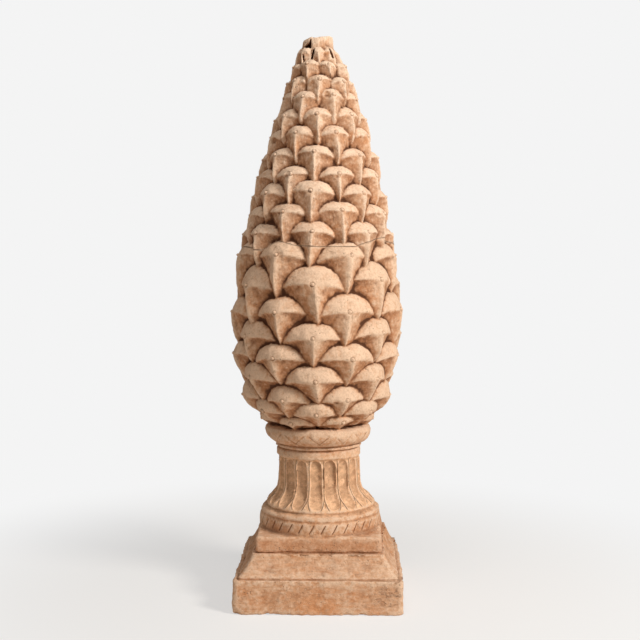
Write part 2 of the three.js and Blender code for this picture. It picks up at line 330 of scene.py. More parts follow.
def model_core():
    """The body of the cone behind the scales."""
    rest()
    foot, top = COLLAR_TOP - 0.02, 0.985
    inner = 0.74
    steps = 24
    stations = [(float(crown_radius(foot)) * inner, foot)]
    for step in range(1, steps + 1):
        level = foot + (top - foot) * step / steps
        stations.append((float(crown_radius(level)) * inner, level))
    bpy.ops.mesh.primitive_circle_add(
        vertices=56, radius=stations[0][0], fill_type="NGON", location=(0, 0, foot)
    )
    core = started("core")
    edit(core)
    bpy.ops.mesh.select_all(action="SELECT")
    pull_up(stations)
    close_up(core)
    return core


def close_up(piece):
    """Closes the open foot of a drawn-up piece and turns its faces outwards."""
    edit(piece)
    choose(piece, "EDGE", lambda e: e.is_boundary)
    bpy.ops.mesh.edge_face_add()
    bpy.ops.mesh.select_all(action="SELECT")
    bpy.ops.mesh.normals_make_consistent(inside=False)
    rest()


def model_plinth():
    """A square block with a hollow moulding over it and a pad on top."""
    rest()
    half = PLINTH_WIDTH / 2
    bpy.ops.mesh.primitive_cube_add(
        size=1,
        location=(0, 0, BLOCK_HEIGHT / 2),
        scale=(PLINTH_WIDTH, PLINTH_WIDTH, BLOCK_HEIGHT),
    )
    plinth = started("plinth")
    edit(plinth)
    choose(plinth, "EDGE", lambda e: abs(e.verts[0].co.z - e.verts[1].co.z) > 0.01)
    bpy.ops.mesh.bevel(offset=0.007, segments=3)
    choose(plinth, "FACE", lambda f: f.normal.z > 0.9)
    pad = PAD_WIDTH / 2
    hollow_foot = BLOCK_HEIGHT + 0.003
    hollow = [(half - 0.004, BLOCK_HEIGHT), (half - 0.010, BLOCK_HEIGHT - 0.003), (half - 0.008, hollow_foot)]
    steps = 8
    for step in range(1, steps + 1):
        t = step / steps
        sag = 0.0025 * math.sin(math.pi * t)
        width = half - 0.008 + (PAD_WIDTH / 2 + 0.0045 - half + 0.008) * t
        level = hollow_foot + (HOLLOW_TOP - BLOCK_HEIGHT - 0.005) * t
        hollow.append((width - sag, level - sag * 0.5))
    lip = [(pad + 0.0045, HOLLOW_TOP), (pad - 0.003, HOLLOW_TOP - 0.0005), (pad - 0.003, HOLLOW_TOP + 0.003)]
    top = [(pad, HOLLOW_TOP + 0.004), (pad + 0.0005, PLINTH_TOP - 0.003), (pad - 0.003, PLINTH_TOP)]
    pull_up([(half, BLOCK_HEIGHT)] + hollow + lip + top)
    choose(plinth, "EDGE", lambda e: all(v.co.z < 1e-4 for v in e.verts))
    bpy.ops.mesh.bevel(offset=0.002, segments=1)
    rest()
    return plinth


def model_socle():
    """The round socle: a band with its roll, the flare and neck, the astragal and the collar."""
    rest()
    foot = PLINTH_TOP - 0.004
    stations = [
        (BAND_RADIUS - 0.001, foot), (BAND_RADIUS, PLINTH_TOP + 0.003),
        (BAND_RADIUS + 0.0005, BAND_TOP - 0.009), (BAND_RADIUS - 0.002, BAND_TOP - 0.0055),
        (BAND_RADIUS - 0.004, BAND_TOP - 0.005), (BAND_RADIUS - 0.0015, BAND_TOP - 0.003),
        (BAND_RADIUS - 0.001, BAND_TOP), (BAND_RADIUS - 0.004, BAND_TOP + 0.0035),
        (FLARE_RADIUS + 0.001, FLARE_FOOT - 0.004), (FLARE_RADIUS - 0.0035, FLARE_FOOT - 0.001),
        (FLARE_RADIUS - 0.001, FLARE_FOOT + 0.002),
    ]
    steps = 14
    for step in range(1, steps + 1):
        level = FLARE_FOOT + 0.002 + (NECK_TOP - FLARE_FOOT - 0.002) * step / steps
        stations.append((neck_radius(level), level))
    stations += [
        (NECK_RADIUS + 0.0035, NECK_TOP + 0.001), (NECK_RADIUS + 0.0030, NECK_BAND_TOP - 0.007),
        (NECK_RADIUS - 0.0010, NECK_BAND_TOP - 0.0055), (NECK_RADIUS - 0.0010, NECK_BAND_TOP - 0.0035),
        (NECK_RADIUS + 0.0050, NECK_BAND_TOP - 0.002), (NECK_RADIUS + 0.0050, ASTRAGAL_TOP - 0.0075),
        (NECK_RADIUS - 0.0005, ASTRAGAL_TOP - 0.006), (NECK_RADIUS, ASTRAGAL_TOP - 0.004),
        (0.0815, 0.2785), (0.0875, 0.2815), (0.0930, 0.2865), (0.0960, 0.2925), (0.0970, 0.2995),
        (0.0950, 0.3060), (0.089, 0.3090),
    ]
    bpy.ops.mesh.primitive_circle_add(
        vertices=108, radius=stations[0][0], fill_type="NGON", location=(0, 0, foot)
    )
    socle = started("socle")
    edit(socle)
    bpy.ops.mesh.select_all(action="SELECT")
    pull_up(stations)
    close_up(socle)
    return socle


def model_gouge(name, width, depth, low, high, blunt_low, blunt_high):
    """The hollow of one flute or of one thin groove, at the front of the neck."""
    rest()
    shares = (0, 0.03, 0.08, 0.16, 0.28, 0.42, 0.56, 0.7, 0.82, 0.91, 0.97, 1)
    levels = [low + (high - low) * t for t in shares]
    widths = []
    for level in levels:
        t = (level - low) / (high - low)
        open_low = math.sqrt(1 - (1 - min(1, t / blunt_low)) ** 2)
        open_high = math.sqrt(1 - (1 - min(1, (1 - t) / blunt_high)) ** 2)
        spread = neck_radius(level) / NECK_RADIUS
        widths.append(max(0.06, min(open_low, open_high)) * width * spread)
    bpy.ops.mesh.primitive_circle_add(vertices=12, radius=1, fill_type="NGON", location=(0, 0, 0))
    gouge = started(name)
    edit(gouge)
    bpy.ops.mesh.select_all(action="SELECT")
    stretch(widths[0], depth * 0.2, 1)
    shift(0, -neck_radius(low), low)
    before = (widths[0], depth * 0.2, neck_radius(low), low)
    for level, wide in zip(levels[1:], widths[1:]):
        deep = depth * min(1, wide / width * 1.1)
        out = neck_radius(level)
        bpy.ops.mesh.extrude_region_move(
            TRANSFORM_OT_translate={"value": (0, before[2] - out, level - before[3])}
        )
        stretch(wide / before[0], deep / before[1], 1, (0, -out, level))
        before = (wide, deep, out, level)
    close_up(gouge)
    return gouge


def ring_of(piece, count, turn):
    """Copies of a piece all the way round the axis, the first at a turn in degrees."""
    copies = []
    for index in range(count):
        angle = math.radians(turn + 360 * index / count)
        copy = copy_of(piece, f"{piece.name}_{index}")
        x, y, z = places(copy.data).T
        turned = (x * math.cos(angle) - y * math.sin(angle), x * math.sin(angle) + y * math.cos(angle), z)
        put_places(copy.data, np.column_stack(turned))
        copies.append(copy)
    drop(piece)
    return copies


def model_stub():
    """The broken tip: a ragged stump; its deep hole and groove are gashed into it later."""
    rest()
    stations = (
        (0.040, 0.945), (0.035, 0.965), (0.031, 0.985), (0.0300, 1.0), (0.0295, 1.009), (0.0270, 1.0170)
    )
    bpy.ops.mesh.primitive_circle_add(
        vertices=14, radius=stations[0][0], fill_type="NGON", location=(0, 0, stations[0][1])
    )
    stub = started("stub")
    edit(stub)
    bpy.ops.mesh.select_all(action="SELECT")
    pull_up(stations)
    luck = random.Random(5)
    for place in [tuple(v.co) for v in bmesh.from_edit_mesh(stub.data).verts if v.co.z > 1.012]:
        choose(stub, "VERT", lambda v, place=place: (v.co - Vector(place)).length < 1e-5)
        rise = -0.004 if place[0] < -0.016 else 0.003 if place[0] > 0.012 else -0.0015
        shift(luck.uniform(-0.001, 0.001), luck.uniform(-0.001, 0.001), rise + luck.uniform(-0.0008, 0.0008))
    close_up(stub)
    return stub


# Wear, carried out on the fine skin.
def radial(points):
    return np.hypot(points[:, 0], points[:, 1])


def normals_of(mesh):
    values = np.empty(len(mesh.vertices) * 3)
    mesh.vertex_normals.foreach_get("vector", values)
    return values.reshape(-1, 3)


class Near:
    """Finds the points of a skin round a place."""

    def __init__(self, points):
        self.points = points
        self.order = np.argsort(points[:, 2])
        self.levels = points[self.order, 2]

    def within(self, place, reach):
        low, high = np.searchsorted(self.levels, (place[2] - reach, place[2] + reach))
        some = self.order[low:high]
        return some[((self.points[some] - place) ** 2).sum(axis=1) < reach * reach]


def press_nubs(piece, spots, luck):
    """The round pellet on every crown, with a thin groove round it. Gives where they are."""
    points = places(piece.data)
    normals = normals_of(piece.data)
    skin = Near(points.copy())
    nubs = []
    for spot in spots:
        near = skin.within(np.array(spot), 0.009)
        if len(near) == 0:
            continue
        centre_x = float(lean(spot[2]))
        reach = np.hypot(points[near, 0] - centre_x, points[near, 1])
        aside = np.linalg.norm(points[near] - np.array(spot), axis=1)
        top = near[np.argmax(reach - np.abs(points[near, 2] - spot[2] - 0.001) * 1.5 - aside * 0.5)]
        centre = skin.points[top] + np.array((luck.uniform(-0.001, 0.001), 0, luck.uniform(0, 0.002)))
        size = luck.uniform(0.0028, 0.0034)
        away = np.linalg.norm(skin.points[near] - centre, axis=1)
        raised = 0.0015 * np.sqrt(np.clip(1 - (away / size) ** 2, 0, 1))
        ring = -0.0010 * np.exp(-((away - size * 1.28) / 0.0009) ** 2)
        points[near] += normals[near] * (raised + ring)[:, None]
        nubs.append(centre)
    put_places(piece.data, points)
    return nubs


def roughen(piece, name, size, strength):
    """Uneven surface of pressed and fired clay."""
    clouds = bpy.data.textures.new(name, "CLOUDS")
    clouds.noise_scale = size
    clouds.noise_depth = 2
    finish_with(
        piece, "DISPLACE",
        texture=clouds, texture_coords="LOCAL", strength=strength, mid_level=0.5,
    )


def chip(piece, chips):
    """Knocks chips off: each is a centre, a radius and a depth."""
    points = places(piece.data)
    skin = Near(points.copy())
    for centre, size, depth in chips:
        near = skin.within(np.array(centre), size)
        fall = 1 - np.linalg.norm(skin.points[near] - centre, axis=1) / size
        inward = -points[near] * np.array((1, 1, 0))
        inward /= np.maximum(np.linalg.norm(inward, axis=1), 1e-6)[:, None]
        points[near] += inward * (depth * np.clip(fall * 1.6, 0, 1) ** 0.8)[:, None]
    put_places(piece.data, points)


def plinth_chips(luck):
    """Worn arrises and the ragged foot of the plinth."""
    half = PLINTH_WIDTH / 2
    pad = PAD_WIDTH / PLINTH_WIDTH
    chips = []
    for side in range(4):
        turn = math.radians(90 * side)
        for place in range(17):
            along = (place - 8) / 8 * half + luck.uniform(-0.008, 0.008)
            x = along * math.cos(turn) + half * math.sin(turn)
            y = along * math.sin(turn) - half * math.cos(turn)
            foot = (x, y, luck.uniform(-0.006, -0.001))
            chips.append((foot, luck.uniform(0.006, 0.011), luck.uniform(0.002, 0.006)))
            if luck.random() < 0.5:
                chips.append(((x, y, BLOCK_HEIGHT), luck.uniform(0.004, 0.009), luck.uniform(0.001, 0.0022)))
            if luck.random() < 0.4:
                edge = (x * pad, y * pad, luck.choice((HOLLOW_TOP + 0.003, PLINTH_TOP)))
                chips.append((edge, luck.uniform(0.004, 0.008), luck.uniform(0.001, 0.002)))
    return chips


def scale_chips(spots, luck):
    """Small losses along the crests of the scales."""
    chips = []
    for x, y, z in spots:
        if luck.random() < 0.45:
            turn = math.atan2(y, x) + luck.uniform(-0.3, 0.3)
            reach = math.hypot(x, y) * 0.97
            spot = (reach * math.cos(turn), reach * math.sin(turn), z + luck.uniform(-0.006, 0.004))
            chips.append((spot, luck.uniform(0.004, 0.008), luck.uniform(0.001, 0.003)))
    return chips


def gash(piece, gashes):
    """Deep dark slots in the broken tip: each runs between two (x, z) places seen from the front."""
    points = places(piece.data)
    for start, end, width, depth in gashes:
        start, end = np.array(start), np.array(end)
        flat = points[:, [0, 2]]
        run = end - start
        t = np.clip(((flat - start) @ run) / (run @ run), 0, 1)
        away = np.linalg.norm(flat - start - t[:, None] * run, axis=1)
        wide = width * (0.35 + 0.65 * t)
        inside = (away < wide) & (points[:, 1] < -0.004)
        fall = np.clip(1.8 * (1 - away[inside] / wide[inside]), 0, 1)
        points[inside, 1] += depth * fall
    put_places(piece.data, points)


TIP_GASHES = (
    ((-0.0165, 1.0105), (-0.0180, 0.9975), 0.0036, 0.016),
    ((-0.0180, 1.0055), (-0.0240, 0.9985), 0.0044, 0.014),
    ((-0.0100, 0.9915), (-0.0145, 0.9720), 0.0028, 0.010),
    ((0.0180, 0.9930), (0.0240, 0.9760), 0.0026, 0.005),
    ((-0.0300, 0.9820), (-0.0280, 0.9690), 0.0028, 0.009),
)


# Slanting strokes of the modelling tool on the band and on the collar: how many go round, how far
# one leans per metre of height in shares of their distance, the lowest and highest place, which
# share of the distance the row is moved, how deep one is and how broad its line of painted shade.
STROKES = (
    (34, 27.0, BAND_BOTTOM, BAND_TOP - 0.008, 0.1, 0.0016, 0.055),
    (13, 26.0, ASTRAGAL_TOP - 0.002, COLLAR_TOP - 0.012, 0.3, 0.0009, 0.022),
    (13, -26.0, ASTRAGAL_TOP - 0.002, COLLAR_TOP - 0.012, 0.66, 0.0009, 0.022),
)


def press_strokes(piece):
    points = places(piece.data)
    turn = np.arctan2(points[:, 0], -points[:, 1]) / math.tau
    deep = np.zeros(len(points))
    for count, slant, low, high, start, depth, _ in STROKES:
        middle = (low + high) / 2
        share = (turn * count - (points[:, 2] - middle) * slant + start) % 1
        across = np.abs(share - 0.5) * math.tau * radial(points) / count
        along = np.clip((high - low) / 2 - np.abs(points[:, 2] - middle), 0, 0.002) / 0.002
        deep = np.maximum(deep, depth * np.clip(1 - across / 0.0022, 0, 1) * along)
    points[:, :2] *= (1 - deep / np.maximum(radial(points), 0.02))[:, None]
    put_places(piece.data, points)


# The joint between the two fired sections steps up and down among the scales.
SEAM = (
    (-180, 0), (-100, 0), (-72, 0.002), (-47, -0.006), (-32, 0.010), (-18, 0.002), (0, -0.001),
    (30, 0), (38, 0.008), (50, 0.012), (64, 0.018), (80, 0.010), (110, 0), (180, 0),
)
SEAM_REACH = 0.06


def seam_rise(points):
    turn = np.degrees(np.arctan2(points[:, 0], -points[:, 1]))
    return np.interp(turn, [place for place, _ in SEAM], [rise for _, rise in SEAM])


def level_seam(points, back=False):
    """Moves the stepped joint to one level, or back."""
    rise = seam_rise(points)
    off = points[:, 2] - JOINT_HEIGHT
    if back:
        up = np.where(off >= 0, (SEAM_REACH - rise) / SEAM_REACH, (SEAM_REACH + rise) / SEAM_REACH)
        moved = rise + off * up
    else:
        gap = off - rise
        up = np.where(gap >= 0, SEAM_REACH / (SEAM_REACH - rise), SEAM_REACH / (SEAM_REACH + rise))
        moved = gap * up
    inside = np.abs(off) < SEAM_REACH
    points[:, 2] = JOINT_HEIGHT + np.where(inside, moved, off)
    return points


def cut_at_joint(whole):
    """Parts the fired body at the joint, with a hair of space between the two sections."""
    points = level_seam(places(whole.data))
    away = np.abs(points[:, 2] - JOINT_HEIGHT)
    pinch = 0.0009 * np.clip(1 - away / 0.0014, 0, 1)
    points[:, :2] *= (1 - pinch / np.maximum(radial(points), 0.02))[:, None]
    put_places(whole.data, points)
    upper = copy_of(whole, "upper_terracotta_body")
    whole.name = "lower_terracotta_body"
    for piece, level, keep_top in ((whole, JOINT_HEIGHT, False), (upper, JOINT_HEIGHT + JOINT_GAP, True)):
        edit(piece)
        bpy.ops.mesh.select_mode(type="FACE")
        bpy.ops.mesh.select_all(action="SELECT")
        bpy.ops.mesh.bisect(
            plane_co=(0, 0, level),
            plane_no=(0, 0, 1),
            use_fill=True,
            clear_inner=keep_top,
            clear_outer=not keep_top,
        )
        rest()
        put_places(piece.data, level_seam(places(piece.data), back=True))
    return whole, upper


# What the finish reads: how hollow and how sharp each place of the skin is, for painted shade in the hollows
# and for wear with a painted highlight on the edges.
def smoothed(points, edges, rounds):
    count = np.bincount(edges.ravel(), minlength=len(points)).astype(float)
    count[count == 0] = 1
    for _ in range(rounds):
        total = np.empty_like(points)
        for axis in range(3):
            line = points[:, axis]
            total[:, axis] = np.bincount(edges[:, 0], line[edges[:, 1]], len(points))
            total[:, axis] += np.bincount(edges[:, 1], line[edges[:, 0]], len(points))
        points = points * 0.4 + 0.6 * total / count[:, None]
    return points


def store(mesh, name, values):
    layer = mesh.attributes.new(name, "FLOAT", "POINT")
    layer.data.foreach_set("value", np.ascontiguousarray(values, dtype=np.float32))


def read_skin(piece, nubs):
    mesh = piece.data
    points = places(mesh)
    normals = normals_of(mesh)
    edges = np.empty(len(mesh.edges) * 2, dtype=np.int64)
    mesh.edges.foreach_get("vertices", edges)
    edges = edges.reshape(-1, 2)
    fine = smoothed(points, edges, 8)
    broad = smoothed(fine, edges, 60)
    fine_bend = ((fine - points) * normals).sum(axis=1)
    broad_bend = ((broad - points) * normals).sum(axis=1)
    # Sharp edges, where the finish paints wear and a pale painted highlight.
    store(mesh, "edge_wear", np.clip(-fine_bend / 0.0006, 0, 1))
    store(mesh, "crevice", np.clip(fine_bend / 0.0009, 0, 1))
    store(mesh, "recess", np.clip(0.5 + broad_bend / 0.012, 0, 1))
    ring = np.full(len(points), 0.02)
    skin = Near(points)
    for nub in nubs:
        near = skin.within(nub, 0.012)
        ring[near] = np.minimum(ring[near], np.linalg.norm(points[near] - nub, axis=1))
    store(mesh, "nub_distance", ring)
    joint = np.abs(points[:, 2] - JOINT_HEIGHT - seam_rise(points))
    store(mesh, "joint_dirt", np.clip(1 - joint / 0.0016, 0, 1))


def build_body():
    """The whole body as one closed skin, and the places of the pellets on its scales."""
    luck = random.Random(11)
    pattern = model_scale()
    pieces, spots = [], []
    for row in range(len(ROWS)):
        for side in range(LOWER_COUNT if row < FIRST_UPPER_ROW else UPPER_COUNT):
            copy, spot = lay_scale(pattern, row, side, luck)
            pieces.append(copy)
            if row < len(ROWS) - 1:
                spots.append(spot)
    drop(pattern)
    socle = model_socle()
    flute = (FLARE_FOOT + 0.004, NECK_TOP - 0.001, 0.15, 0.13)
    rims = joined(ring_of(model_gouge("rim", 0.0126, 0.0023, *flute), FLUTES, FLUTE_TURN), "rims")
    channels = ring_of(model_gouge("flute", 0.0105, 0.0042, *flute), FLUTES, FLUTE_TURN)
    carve(rims, [copy_of(channel, f"{channel.name}_rim") for channel in channels])
    carve(socle, channels)
    slit = model_gouge("slit", 0.0013, 0.0030, FLARE_FOOT + 0.008, NECK_TOP - 0.006, 0.04, 0.04)
    carve(socle, ring_of(slit, FLUTES, FLUTE_TURN + 180 / FLUTES))
    pieces += [socle, rims, model_plinth(), model_core(), model_stub()]
    whole = joined(pieces, "whole")
    finish_with(whole, "REMESH", mode="VOXEL", voxel_size=SKIN)
    points = places(whole.data)
    points[:, 0] += lean(points[:, 2])

    # The back corners of the plinth's slope bulge outwards.
    x, y, z = points.T
    swollen = np.sin(math.pi * np.clip((z - BLOCK_HEIGHT) / (PLINTH_TOP - BLOCK_HEIGHT), 0, 1))
    swollen *= np.clip((np.abs(x) + y - 0.12) / 0.07, 0, 1) * np.where(x > 0, 0.009, 0.004)
    points[:, 0] += swollen * np.sign(x)
    points[:, 1] += swollen * 0.5
    put_places(whole.data, points)
    return whole, spots


def fired(whole, spots):
    """Marks, roughens and wears the body, and parts it at the joint."""
    luck = random.Random(23)
    gash(whole, TIP_GASHES)
    press_strokes(whole)
    roughen(whole, "uneven_clay", 0.050, 0.0060)
    roughen(whole, "pressed_clay", 0.014, 0.0019)
    chip(whole, plinth_chips(luck) + scale_chips(spots, luck))
    nubs = press_nubs(whole, spots, luck)
    roughen(whole, "gritty_clay", 0.0045, 0.0010)
    points = places(whole.data)
    points[:, 2] = np.maximum(points[:, 2], 0)
    put_places(whole.data, points)
    lower, upper = cut_at_joint(whole)
    for piece in (lower, upper):
        faces = sum(len(face.vertices) - 2 for face in piece.data.polygons)
        finish_with(piece, "DECIMATE", ratio=min(1, MOST_TRIANGLES / faces))
    for piece in (lower, upper):
        read_skin(piece, nubs)
        take(piece)
        bpy.ops.object.shade_smooth()
    return lower, upper


# Finish.
class Knob:
    """A socket of a material, with sums on it written as Python."""

    def __init__(self, finish, socket):
        self.finish = finish
        self.socket = socket

    def math(self, operation, first, second=0.0, clamp=False):
        settings = {"operation": operation, "use_clamp": clamp}
        return self.finish.node("ShaderNodeMath", settings, {0: first, 1: second}).out(0)

    def __add__(self, other):
        return self.math("ADD", self, other)

    def __radd__(self, other):
        return self.math("ADD", other, self)

    def __sub__(self, other):
        return self.math("SUBTRACT", self, other)

    def __rsub__(self, other):
        return self.math("SUBTRACT", other, self)

    def __mul__(self, other):
        return self.math("MULTIPLY", self, other)

    def __rmul__(self, other):
        return self.math("MULTIPLY", other, self)

    def __truediv__(self, other):
        return self.math("DIVIDE", self, other)

    def __rtruediv__(self, other):
        return self.math("DIVIDE", other, self)

    def __pow__(self, other):
        return self.math("POWER", self, other)

    def __mod__(self, other):
        return self.math("FLOORED_MODULO", self, other)

    def size(self):
        return self.math("ABSOLUTE", self)

    def clamped(self):
        return self.math("ADD", self, 0.0, clamp=True)

    def over(self, low, high):
        """0 below low, 1 above high and smooth between."""
        values = {"Value": self, "From Min": low, "From Max": high}
        settings = {"interpolation_type": "SMOOTHSTEP"}
        return self.finish.node("ShaderNodeMapRange", settings, values).out("Result")


class Built:
    """A node that was added to a finish."""

    def __init__(self, finish, node):
        self.finish = finish
        self.node = node

    def out(self, name):
        return Knob(self.finish, self.node.outputs[name])


class Finish:
    """A material and its nodes."""

    def __init__(self, name):
        self.material = bpy.data.materials.new(name)
        self.material.use_nodes = True
        self.tree = self.material.node_tree
        self.tree.nodes.clear()

    def node(self, kind, settings=None, values=None):
        made = self.tree.nodes.new(kind)
        for key, value in (settings or {}).items():
            setattr(made, key, value)
        for key, value in (values or {}).items():
            socket = made.inputs[key]
            if isinstance(value, Knob):
                self.tree.links.new(value.socket, socket)
            elif isinstance(value, tuple) and len(value) == 3 and socket.type == "RGBA":
                socket.default_value = (*value, 1)
            else:
                socket.default_value = value
        return Built(self, made)

    def noise(self, where, scale, detail=4.0, roughness=0.55, distortion=0.0):
        values = {"Vector": where, "Scale": scale, "Detail": detail, "Roughness": roughness}
        return self.node("ShaderNodeTexNoise", {}, {**values, "Distortion": distortion}).out("Fac")

    def mix(self, amount, first, second):
        settings = {"data_type": "RGBA", "clamp_result": True}
        return self.node("ShaderNodeMix", settings, {0: amount, 6: first, 7: second}).out(2)

    def drawn_out(self, where, shares):
        """The place for a pattern that is drawn out along the axes with the smaller shares."""
        values = {0: where, 1: shares}
        return self.node("ShaderNodeVectorMath", {"operation": "MULTIPLY"}, values).out("Vector")

    def attribute(self, name):
        return self.node("ShaderNodeAttribute", {"attribute_name": name}).out("Fac")


def stroke_lines(turn, height):
    """Painted shade in the fine bottoms of the tool strokes, 1 on a stroke."""
    lines = 0.0
    for count, slant, low, high, start, _, width in STROKES:
        share = (turn * (count / math.tau) - (height - (low + high) / 2) * slant + start + 1000.0) % 1.0
        line = (share - 0.5).size().over(width, width * 0.4)
        lines = lines + line * height.over(low, low + 0.002) * height.over(high, high - 0.002)
    return lines


def flute_lines(turn, height):
    """Painted shade in the slits between the rims of the flutes; they part round a small tongue at the foot.
    """
    share = (turn * (FLUTES / math.tau) - FLUTE_TURN * FLUTES / 360 + 1000.0) % 1.0
    part = ((0.188 - height) * 45.0).clamped() ** 1.6 * 0.26
    line = ((share - 0.5).size() - part).size().over(0.040, 0.012)
    foot = height.over(FLARE_FOOT + 0.003, FLARE_FOOT + 0.007)
    return line * foot * height.over(NECK_TOP, NECK_TOP - 0.004)


def front_spot(place, across, height, half_width, half_height):
    """A soft round spot on the front of the plinth, 1 in its middle."""
    wide = (place.out("X") - across) / half_width
    high = (place.out("Z") - height) / half_height
    return (wide * wide + high * high).over(1.3, 0.5) * place.out("Y").over(-0.12, -0.135)


def terracotta(name, pale, body, warm, deep, bleach):
    """Unglazed fired clay: a pale dusty film on what stands out, with painted light on faces turned up,
    red-brown dirt with painted shade in the hollows and under things, specks and pits.
    """
    clay = Finish(name)
    where = clay.node("ShaderNodeTexCoord").out("Object")
    place = clay.node("ShaderNodeSeparateXYZ", {}, {0: where})
    height = place.out("Z")
    turn = place.out("X").math("ARCTAN2", place.out("X"), 0 - place.out("Y"))
    recess = clay.attribute("recess") + bleach * 1.1
    crevice = clay.attribute("crevice")
    worn_and_highlight = clay.attribute("edge_wear")
    ring = clay.attribute("nub_distance")
    joint = clay.attribute("joint_dirt")
    scaly = height.over(0.285, 0.325)
    broad = clay.noise(where, 9.0, 3.0, 0.6)
    patch = clay.noise(where, 26.0, 4.0, 0.6)
    mottle = clay.noise(where, 95.0, 5.0, 0.65)
    grain = clay.noise(where, 260.0, 3.0, 0.7)
    grit = clay.noise(where, 620.0, 2.0, 0.6)
    smear = clay.noise(where, 48.0, 7.0, 0.75, 0.6)
    facing = clay.node("ShaderNodeNewGeometry").out("Normal")
    up = clay.node("ShaderNodeSeparateXYZ", {}, {0: facing}).out("Z")
    colour = clay.mix(patch.over(0.34, 0.68), body, warm)
    flat = clay.drawn_out(where, (0.2, 0.2, 1.0))
    streak = (clay.noise(flat, 170.0, 4.0, 0.6, 0.8) - 0.5) * (1 - height.over(0.120, 0.135))
    # Pale dusty film, paler on what stands out: partly real, partly painted light, with painted shade in the
    # hollows.
    bloom_and_painted_light = 0.38 + (0.5 - recess) * 1.7 * scaly + (mottle - 0.5) * 1.3 + (broad - 0.5) * 1.6
    fluted_painted_light = height.over(0.150, 0.175) * height.over(0.268, 0.245)
    tall = clay.drawn_out(where, (1.0, 1.0, 0.22))
    comb = (clay.noise(tall, 140.0, 3.0, 0.6, 0.5) - 0.5) * scaly
    # Faces turned up are painted paler as light from above; the streaks and comb marks are the clay's own.
    bloom_and_painted_light = bloom_and_painted_light + up * (0.30 + scaly * 0.27) + streak * 2.0 + comb * 1.2 + bleach
    pad = height.over(0.094, 0.099) * height.over(0.1245, 0.121)
    bloom_and_painted_light = (bloom_and_painted_light - 0.17 * (1 - scaly) - pad * 0.48).clamped()
    colour = clay.mix(bloom_and_painted_light * 0.9, colour, pale)
    # Painted light: the neck with its flutes is brighter than the body clay, where the collar's shade falls.
    colour = clay.mix(fluted_painted_light * 0.85, colour, (0.97, 0.61, 0.36))
    # Red-brown dirt mixed with painted shade: darker in the hollows and on faces turned down.
    earth_and_painted_shade = (recess - 0.46) * 2.0 + (mottle - 0.5) * 0.8 + (smear - 0.5) * 0.7 + (0.10 - up) * 0.8 * scaly
    colour = clay.mix(earth_and_painted_shade.clamped() * (0.16 + scaly * 0.72), colour, deep)
    # Pale on sharp edges: wear, and a painted highlight along the crests.
    colour = clay.mix((worn_and_highlight * 0.8 * mottle.over(0.30, 0.55)).clamped(), colour, pale)
    warm_spot = front_spot(place, 0.0, 0.014, 0.042, 0.022) * smear.over(0.42, 0.52)
    colour = clay.mix(warm_spot * 0.55, colour, (0.66, 0.29, 0.12))
    scar = front_spot(place, 0.119, 0.034, 0.024, 0.020) * mottle.over(0.50, 0.56)
    colour = clay.mix(scar * 0.5, colour, (0.36, 0.15, 0.065))
    stain = smear.over(0.56, 0.69) * (0.34 + scaly * 0.16)
    colour = clay.mix(stain, colour, (0.25, 0.14, 0.085))
    lime = smear.over(0.43, 0.28) * 0.30
    colour = clay.mix(lime, colour, (0.82, 0.64, 0.47))
    colour = clay.mix(pad * 0.45, colour, (0.57, 0.275, 0.145))
    specks = clay.node("ShaderNodeTexVoronoi", {"feature": "F1"}, {"Vector": where, "Scale": 170.0})
    speck = specks.out("Distance").over(0.24, 0.10) * clay.noise(where, 31.0, 2.0).over(0.55, 0.64)
    colour = clay.mix(speck * 0.7, colour, (0.085, 0.06, 0.045))
    colour = clay.mix(((grain - 0.5) * 1.5 + 0.04).clamped(), colour, (0.31, 0.165, 0.09))
    colour = clay.mix(((0.5 - grain) * 1.2).clamped(), colour, (0.84, 0.60, 0.41))
    colour = clay.mix(((grit - 0.5) * 0.7 + 0.06).clamped(), colour, deep)
    # Painted shade in the groove round each pellet.
    painted_ring_shade = ring.over(0.0036, 0.0041) * ring.over(0.0053, 0.0046)
    colour = clay.mix(painted_ring_shade * 0.38, colour, (0.20, 0.10, 0.055))
    # Painted shade: near black in the creases and the deep hollows of the scales.
    hollow = (recess.over(0.64, 0.94) * 0.8 * scaly + crevice ** 1.3 * 0.62).clamped() * (0.62 + scaly * 0.38)
    colour = clay.mix(hollow, colour, (0.095, 0.036, 0.016))
    # Painted shade along the bottoms of the tool strokes and in the slits between the flutes.
    strokes = (stroke_lines(turn, height) + flute_lines(turn, height) * 1.1) * patch.over(0.28, 0.44)
    strokes = strokes * (1 - height.over(0.273, 0.277) * (1 - patch.over(0.44, 0.56) * 0.7))
    colour = clay.mix((strokes * 0.66).clamped(), colour, (0.17, 0.07, 0.028))
    colour = clay.mix(joint * (0.45 + patch.over(0.4, 0.6) * 0.5), colour, (0.11, 0.05, 0.024))
    pits = clay.node("ShaderNodeTexVoronoi", {"feature": "F1"}, {"Vector": where, "Scale": 240.0})
    pit = pits.out("Distance").over(0.34, 0.12) * clay.noise(where, 60.0, 2.0).over(0.50, 0.62)
    relief = mottle * 0.5 + grain * 0.4 + grit * 0.2 + smear * 0.5 + streak * 0.9 + comb * 0.9
    relief = relief - pit * 0.6 - speck * 0.3 - strokes * 0.8 - scar * 0.8
    bump = clay.node("ShaderNodeBump", {}, {"Strength": 0.9, "Distance": 0.0015, "Height": relief})
    rough = 0.86 + grit * 0.10
    surface = clay.node(
        "ShaderNodeBsdfPrincipled", {},
        {"Base Color": colour, "Roughness": rough, "Normal": bump.out("Normal"), "Specular IOR Level": 0.25},
    )
    clay.node("ShaderNodeOutputMaterial", {}, {"Surface": surface.out("BSDF")})
    return clay.material


# Stage.
BACKGROUND = (0.905, 0.905, 0.905)


